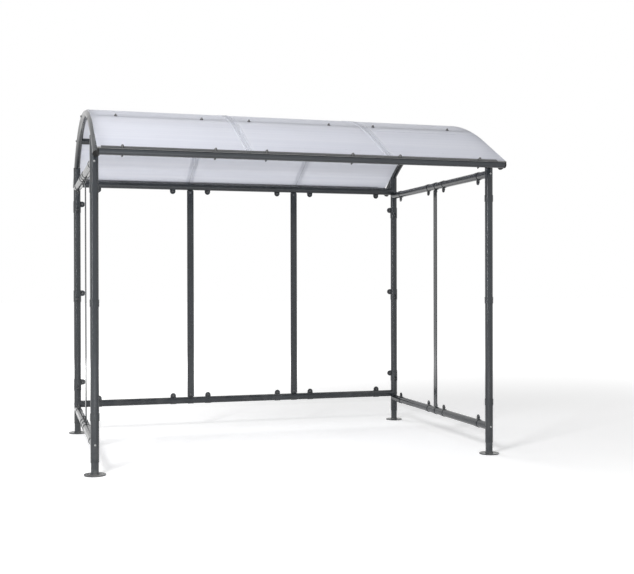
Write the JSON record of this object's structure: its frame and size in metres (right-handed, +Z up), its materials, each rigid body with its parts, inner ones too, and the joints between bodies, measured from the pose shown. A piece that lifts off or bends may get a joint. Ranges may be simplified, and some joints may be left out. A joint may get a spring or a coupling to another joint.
{
  "type": "bike shelter",
  "caption": "Open-frame bike shelter: round posts on disc feet, wall rails and mullions with panel lugs, and an arched roof of translucent sheets.",
  "frame": {"origin": "on the ground, under the middle of the whole shelter", "axes": "+X to the right seen from the open front, +Y towards the back wall, +Z up"},
  "size_m": [3.152, 2.5494, 2.6725],
  "materials": {
    "frame_paint": "satin anthracite powder coat",
    "foot_paint": "satin dark grey powder coat",
    "clamp_paint": "satin anthracite powder coat",
    "cap_plastic": "moulded black plastic",
    "roof_sheet": "opal polycarbonate",
    "joint_strip": "clear polycarbonate"
  },
  "bodies": {
    "root": {"back_bottom_rail": "frame_paint", "back_bottom_rail_lugs": "frame_paint", "back_feet": "foot_paint", "back_left_post": "frame_paint", "back_left_post_lugs": "frame_paint", "back_mullion_left": "frame_paint", "back_mullion_right": "frame_paint", "back_right_post": "frame_paint", "back_right_post_lugs": "frame_paint", "back_top_rail": "frame_paint", "back_top_rail_lugs": "frame_paint", "front_beam_caps": "cap_plastic", "front_beam_fins": "frame_paint", "front_clamp_bar": "clamp_paint", "front_eave_beam": "frame_paint", "front_feet": "foot_paint", "front_left_post": "frame_paint", "front_left_post_lugs": "frame_paint", "front_purlin": "frame_paint", "front_right_post": "frame_paint", "front_right_post_lugs": "frame_paint", "hoop_end_caps": "cap_plastic", "left_bottom_rail": "frame_paint", "left_bottom_rail_lugs": "frame_paint", "left_hoop": "frame_paint", "left_mullion": "frame_paint", "left_roof_joint": "joint_strip", "left_roof_sheet": "roof_sheet", "left_top_rail": "frame_paint", "left_top_rail_lugs": "frame_paint", "middle_roof_sheet": "roof_sheet", "rear_beam_caps": "cap_plastic", "rear_clamp_bar": "clamp_paint", "rear_eave_beam": "frame_paint", "rear_purlin": "frame_paint", "ridge_purlin": "frame_paint", "right_bottom_rail": "frame_paint", "right_bottom_rail_lugs": "frame_paint", "right_hoop": "frame_paint", "right_mullion": "frame_paint", "right_roof_joint": "joint_strip", "right_roof_sheet": "roof_sheet", "right_top_rail": "frame_paint", "right_top_rail_lugs": "frame_paint"}
  },
  "joints": []
}
